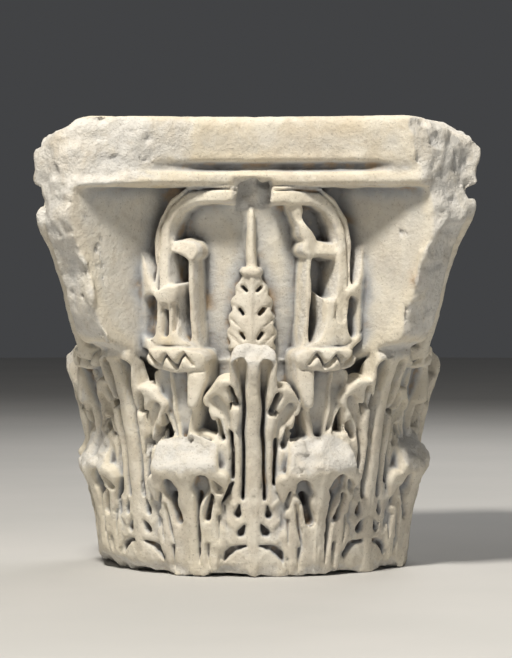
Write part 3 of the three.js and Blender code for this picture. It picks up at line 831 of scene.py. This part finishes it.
def largest_shell(vertices, faces):
    """Drops loose crumbs: keeps only the faces joined to the greatest number of others."""
    label = np.arange(len(vertices), dtype=np.int32)
    while True:
        before = label.copy()
        low = label[faces].min(axis=1)
        for corner in range(4):
            np.minimum.at(label, faces[:, corner], low)
        label = label[label]
        if np.array_equal(before, label):
            break
    names, counts = np.unique(label[faces[:, 0]], return_counts=True)
    keep = label == names[np.argmax(counts)]
    number = np.cumsum(keep) - 1
    kept = faces[keep[faces[:, 0]]]
    return vertices[keep], number[kept]


def new_mesh(name, vertices, faces):
    mesh = bpy.data.meshes.new(name)
    mesh.vertices.add(len(vertices))
    mesh.vertices.foreach_set("co", vertices.astype(np.float32).ravel())
    mesh.loops.add(faces.size)
    mesh.loops.foreach_set("vertex_index", faces.astype(np.int32).ravel())
    mesh.polygons.add(len(faces))
    mesh.polygons.foreach_set("loop_start", np.arange(0, faces.size, faces.shape[1], dtype=np.int32))
    mesh.update(calc_edges=True)
    mesh.validate()
    return mesh


def drawn_in(points, way):
    """Shrinks what is further back, p / (1 + (y - front) / depth), or undoes that. Flat faces stay flat."""
    if way > 0:
        return points / (1.0 + (points[:, 1:2] - NEAR_Y) / NEAR_DEPTH)
    share = (1.0 - NEAR_Y / NEAR_DEPTH) / (1.0 - points[:, 1:2] / NEAR_DEPTH)
    return points * share


def reduced(obj, triangles):
    """Merges small faces until the given number of triangles is left, in a shape with its back drawn in, so that
    more of them stay in front."""
    modifier = obj.modifiers.new("reduce", "DECIMATE")
    modifier.ratio = triangles / (2.0 * len(obj.data.polygons))
    view = bpy.context.evaluated_depsgraph_get()
    mesh = bpy.data.meshes.new_from_object(obj.evaluated_get(view))
    old = obj.data
    obj.modifiers.clear()
    obj.data = mesh
    bpy.data.meshes.remove(old)
    return mesh


def set_attribute(mesh, name, values):
    layer = mesh.attributes.new(name, "FLOAT", "POINT")
    layer.data.foreach_set("value", np.asarray(values, np.float32))


def crowding(field, reach):
    """How much of the stone lies round each place, from 0 to 1: a blur of the filled part of a coarse grid."""
    stride = max(1, int(round(3.0 / field.step)))
    filled = (field.values[::stride, ::stride, ::stride] < 0).astype(np.float32)
    for _ in range(2):
        for axis in range(3):
            values = np.moveaxis(filled, axis, 0)
            padded = np.pad(values, ((reach + 1, reach), (0, 0), (0, 0)), mode="edge")
            sums = np.cumsum(padded, axis=0, dtype=np.float64)
            values[:] = ((sums[2 * reach + 1 :] - sums[: -2 * reach - 1]) / (2 * reach + 1)).astype(np.float32)
    return filled, stride


# Stains: place, radius and strength, of warm colour (1) or brown (2).
STAINS = (
    ((-106, -185, 372), 20, 1), ((-92, -180, 385), 16, 1), ((-140, -150, 232), 18, 1), ((-76, -188, 262), 14, 2),
    ((72, -172, 150), 16, 1), ((72, -176, 345), 18, 2), ((92, -172, 276), 14, 2), ((160, -190, 300), 14, 2),
    ((158, -180, 240), 14, 2), ((-18, -165, 178), 8, 1), ((-88, -170, 240), 14, 1), ((-66, -170, 268), 12, 2),
)


def stain_amount(points, kind):
    total = np.zeros(len(points))
    for centre, radius, sort in STAINS:
        if sort == kind:
            away = np.linalg.norm(points - np.array(centre, float), axis=1)
            total = np.maximum(total, ease(1.0 - away / radius))
    return total


def build_capital(detail):
    step = GRID_STEP / detail
    triangles = TRIANGLES
    field, intact = carved_field(step)
    vertices, faces = largest_shell(*surface_of(field.values))
    points = vertices * field.step + field.low
    mesh = new_mesh("carved_capital", drawn_in(points, 1) * MM, faces)
    obj = bpy.data.objects.new("carved_capital", mesh)
    bpy.context.scene.collection.objects.link(obj)
    mesh = reduced(obj, triangles)
    flat = np.empty(len(mesh.vertices) * 3, np.float32)
    mesh.vertices.foreach_get("co", flat)
    points = drawn_in(flat.reshape(-1, 3).astype(float) / MM, -1)
    points[:, 2] = np.clip(points[:, 2], 0.0, HEIGHT)
    mesh.vertices.foreach_set("co", (points * MM).astype(np.float32).ravel())
    mesh.update()
    mesh.polygons.foreach_set("use_smooth", np.ones(len(mesh.polygons), bool))
    places = (points - field.low) / field.step
    depth = sample(intact, places)
    set_attribute(mesh, "scar", ease((-depth - 0.6) / 1.6))
    for name, reach in (("crowding", 3), ("pit", 1)):
        filled, stride = crowding(field, reach)
        set_attribute(mesh, name, sample(filled, places / stride))
    set_attribute(mesh, "warm", stain_amount(points, 1))
    set_attribute(mesh, "brown", stain_amount(points, 2))
    return obj


# ------------------------------------------------------------------------------------------------ material
class Nodes:
    """Short names for building a node tree."""

    def __init__(self, material):
        material.use_nodes = True
        self.tree = material.node_tree
        self.tree.nodes.clear()

    def add(self, kind, inputs=None, **settings):
        node = self.tree.nodes.new(kind)
        for name, value in settings.items():
            setattr(node, name, value)
        for name, value in (inputs or {}).items():
            if isinstance(value, bpy.types.NodeSocket):
                self.tree.links.new(value, node.inputs[name])
            else:
                node.inputs[name].default_value = value
        return node

    def noise(self, vector, scale, detail=4.0, rough=0.55, twist=0.0):
        settings = {"Vector": vector, "Scale": scale, "Detail": detail, "Roughness": rough, "Distortion": twist}
        return self.add("ShaderNodeTexNoise", settings).outputs["Fac"]

    def span(self, value, low, high, start=0.0, end=1.0):
        inputs = {"Value": value, "From Min": low, "From Max": high, "To Min": start, "To Max": end}
        return self.add("ShaderNodeMapRange", inputs, interpolation_type="SMOOTHSTEP").outputs["Result"]

    def math(self, operation, a, b):
        node = self.add("ShaderNodeMath", {0: a, 1: b}, operation=operation)
        return node.outputs["Value"]

    def blend(self, share, a, b, mode="MIX"):
        node = self.add("ShaderNodeMix", data_type="RGBA", blend_type=mode)
        for socket, value in ((node.inputs[0], share), (node.inputs[6], a), (node.inputs[7], b)):
            if isinstance(value, bpy.types.NodeSocket):
                self.tree.links.new(value, socket)
            else:
                socket.default_value = value
        return node.outputs[2]

    def attribute(self, name):
        return self.add("ShaderNodeAttribute", attribute_name=name).outputs["Fac"]


def marble_material():
    """Worn marble: cream with beige ledges, painted shade in the hollows (cool grey, dark grey deeper in, near-black
    in narrow pits), brown dirt, stains, and paler rough scars.
    """
    material = bpy.data.materials.new("worn_marble")
    n = Nodes(material)
    place = n.add("ShaderNodeTexCoord").outputs["Object"]
    crowd = n.attribute("crowding")
    scar = n.attribute("scar")
    clouds = n.noise(place, 7.0, 5.0, 0.6, 0.5)
    patches = n.noise(place, 24.0, 6.0, 0.65, 0.8)
    fine = n.noise(place, 95.0, 5.0, 0.7)
    colour = n.blend(n.span(clouds, 0.38, 0.62), (0.74, 0.675, 0.545, 1), (0.66, 0.60, 0.50, 1))
    colour = n.blend(n.span(patches, 0.40, 0.66, 0.0, 0.75), colour, (0.80, 0.755, 0.655, 1))
    height = n.add("ShaderNodeSeparateXYZ", {"Vector": place}).outputs["Z"]
    beige = n.math("MULTIPLY", n.span(height, 0.375, 0.415), n.span(patches, 0.25, 0.6, 0.75, 0.15))
    colour = n.blend(beige, colour, (0.64, 0.545, 0.40, 1))
    # Painted shade: cool grey where the stone crowds round a place, in the hollows, patchy by noise.
    painted_cool_shade = n.math("MULTIPLY", n.span(crowd, 0.43, 0.62), n.span(n.noise(place, 11.0, 3.0), 0.3, 0.62, 0.4, 0.95))
    colour = n.blend(painted_cool_shade, colour, (0.44, 0.455, 0.47, 1))
    # Painted shadow: dark grey under the abacus and deep in the recesses, where the stone crowds round most.
    shade = n.span(crowd, 0.53, 0.72, 0.0, 0.72)
    colour = n.blend(shade, colour, (0.17, 0.175, 0.19, 1))
    # Painted shade: near-black in narrow drilled channels and pits, where little light gets in.
    painted_pit_shade = n.math("MULTIPLY", n.span(n.attribute("pit"), 0.60, 0.80), n.span(crowd, 0.48, 0.62, 0.0, 0.92))
    colour = n.blend(painted_pit_shade, colour, (0.085, 0.075, 0.07, 1))
    grime = n.math("MULTIPLY", n.span(crowd, 0.5, 0.7), n.span(n.noise(place, 33.0, 4.0), 0.52, 0.66, 0.0, 0.75))
    colour = n.blend(grime, colour, (0.36, 0.25, 0.14, 1))
    warm = n.math("MULTIPLY", n.attribute("warm"), n.span(patches, 0.34, 0.6, 0.0, 0.9))
    colour = n.blend(warm, colour, (0.68, 0.52, 0.24, 1))
    brown = n.math("MULTIPLY", n.attribute("brown"), n.span(patches, 0.36, 0.6, 0.0, 0.85))
    colour = n.blend(brown, colour, (0.40, 0.235, 0.11, 1))
    scarred = n.math("MULTIPLY", scar, n.span(patches, 0.3, 0.6, 0.35, 0.85))
    colour = n.blend(scarred, colour, (0.70, 0.68, 0.64, 1))
    colour = n.blend(n.span(fine, 0.5, 0.72, 0.0, 0.4), colour, (0.47, 0.41, 0.33, 1))
    specks = n.noise(place, 420.0, 3.0, 0.6)
    colour = n.blend(n.span(specks, 0.58, 0.70, 0.0, 0.45), colour, (0.27, 0.23, 0.18, 1))
    rough = n.span(patches, 0.3, 0.7, 0.55, 0.78)
    grain = n.noise(place, 900.0, 3.0, 0.6)
    pits = n.noise(place, 170.0, 4.0, 0.65)
    swell = n.noise(place, 48.0, 4.0, 0.6)
    relief = n.math("ADD", n.math("MULTIPLY", grain, 0.18), n.math("MULTIPLY", pits, 0.55))
    relief = n.math("ADD", relief, n.math("MULTIPLY", swell, 0.9))
    strength = n.span(scar, 0.0, 1.0, 0.6, 1.0)
    bump = n.add("ShaderNodeBump", {"Strength": strength, "Distance": 0.0034, "Height": relief})
    shader = n.add(
        "ShaderNodeBsdfPrincipled",
        {"Base Color": colour, "Roughness": rough, "Normal": bump.outputs["Normal"], "Specular IOR Level": 0.35},
    )
    out = n.add("ShaderNodeOutputMaterial")
    n.tree.links.new(shader.outputs["BSDF"], out.inputs["Surface"])
    return material


# ------------------------------------------------------------------------------------------------ studio
def aim(obj, target):
    """Turns a camera or light to face a point."""
    gaze = np.array(target) - np.array(obj.location)
    flat = math.hypot(gaze[0], gaze[1])
    obj.rotation_euler = (math.pi / 2 + math.atan2(gaze[2], flat), 0.0, math.atan2(gaze[1], gaze[0]) - math.pi / 2)


def area_light(name, place, target, size, watts, colour):
    data = bpy.data.lights.new(name, "AREA")
    data.shape = "DISK"
    data.size = size
    data.energy = watts
    data.color = colour
    light = bpy.data.objects.new(name, data)
    light.location = place
    aim(light, target)
    bpy.context.scene.collection.objects.link(light)


def build_studio(distance):
    scene = bpy.context.scene
    low, high = (np.array(corner) for corner in CAD_BOX)
    middle = (low + high) / 2
    size = float(max(high - low))
    ring = np.linspace(0, 2 * math.pi, 65)[:-1]
    disc = np.stack([np.cos(ring) * size * 14, np.sin(ring) * size * 14, np.full(64, low[2])], axis=1)
    floor_mesh = bpy.data.meshes.new("studio_floor")
    floor_mesh.from_pydata(disc.tolist(), [], [list(range(64))])
    floor = bpy.data.objects.new("studio_floor", floor_mesh)
    scene.collection.objects.link(floor)
    paint = bpy.data.materials.new("pale_floor")
    n = Nodes(paint)
    place = n.add("ShaderNodeTexCoord").outputs["Object"]
    shade = n.blend(n.span(n.noise(place, 3.0), 0.3, 0.7), (0.52, 0.515, 0.50, 1), (0.55, 0.54, 0.525, 1))
    shader = n.add("ShaderNodeBsdfPrincipled", {"Base Color": shade, "Roughness": 0.85})
    out = n.add("ShaderNodeOutputMaterial")
    n.tree.links.new(shader.outputs["BSDF"], out.inputs["Surface"])
    floor_mesh.materials.append(paint)

    world = bpy.data.worlds.new("studio_world")
    scene.world = world
    scene.view_settings.view_transform = "Standard"
    world.use_nodes = True
    world.node_tree.nodes["Background"].inputs["Color"].default_value = (0.78, 0.80, 0.84, 1)
    world.node_tree.nodes["Background"].inputs["Strength"].default_value = 0.07
    heart = (middle[0], middle[1], middle[2])
    area_light("key", (-0.5, -1.45, 2.3), heart, 0.4, 84.0, (1.0, 0.955, 0.875))
    area_light("fill", (0.9, -2.4, 0.6), heart, 1.4, 3.0, (0.86, 0.92, 1.0))
    area_light("back", (0.6, 1.9, 1.9), heart, 1.2, 26.0, (1.0, 0.98, 0.95))

    data = bpy.data.cameras.new("camera")
    data.sensor_width = 36.0
    data.lens = 36.0 * (distance - 0.16) / 0.658
    camera = bpy.data.objects.new("camera", data)
    camera.location = (0.0025, -distance, 0.315)
    aim(camera, (0.0025, -0.16, 0.249))
    scene.collection.objects.link(camera)
    scene.camera = camera


# ------------------------------------------------------------------------------------------------ add-on
class CapitalSettings(bpy.types.PropertyGroup):
    detail: bpy.props.FloatProperty(
        name="Detail", description="How fine the stone's grid is, against its plain spacing", default=1.0, min=0.25, max=1.5
    )
    distance: bpy.props.FloatProperty(
        name="Camera distance", description="From the axis to the camera", default=3.0, unit="LENGTH", subtype="DISTANCE"
    )


class CAPITAL_OT_stone(bpy.types.Operator):
    """Carve the capital and give it its marble"""

    bl_idname = "capital.stone"
    bl_label = "Carve the capital"
    bl_options = {"REGISTER", "UNDO"}

    def execute(self, context):
        stone = build_capital(context.scene.capital_settings.detail)
        stone.data.materials.append(marble_material())
        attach(stone, "root")
        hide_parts("capital")
        return {"FINISHED"}


class CAPITAL_OT_studio(bpy.types.Operator):
    """Set up the floor, the lights and the camera"""

    bl_idname = "capital.studio"
    bl_label = "Set up the studio"
    bl_options = {"REGISTER", "UNDO"}

    def execute(self, context):
        build_studio(context.scene.capital_settings.distance)
        return {"FINISHED"}


class CAPITAL_PT_panel(bpy.types.Panel):
    """Buttons for the capital"""

    bl_idname = "CAPITAL_PT_panel"
    bl_label = "Carved capital"
    bl_space_type = "VIEW_3D"
    bl_region_type = "UI"
    bl_category = "Capital"

    def draw(self, context):
        settings = context.scene.capital_settings
        self.layout.prop(settings, "detail")
        self.layout.operator("capital.stone")
        self.layout.prop(settings, "distance")
        self.layout.operator("capital.studio")


CLASSES = (CapitalSettings, CAPITAL_OT_stone, CAPITAL_OT_studio, CAPITAL_PT_panel)


def register():
    for kind in CLASSES:
        bpy.utils.register_class(kind)
    bpy.types.Scene.capital_settings = bpy.props.PointerProperty(type=CapitalSettings)


def unregister():
    del bpy.types.Scene.capital_settings
    for kind in reversed(CLASSES):
        bpy.utils.unregister_class(kind)


def main():
    register()
    bpy.ops.capital.studio()
    bpy.ops.capital.stone()


if __name__ == "__main__":
    main()
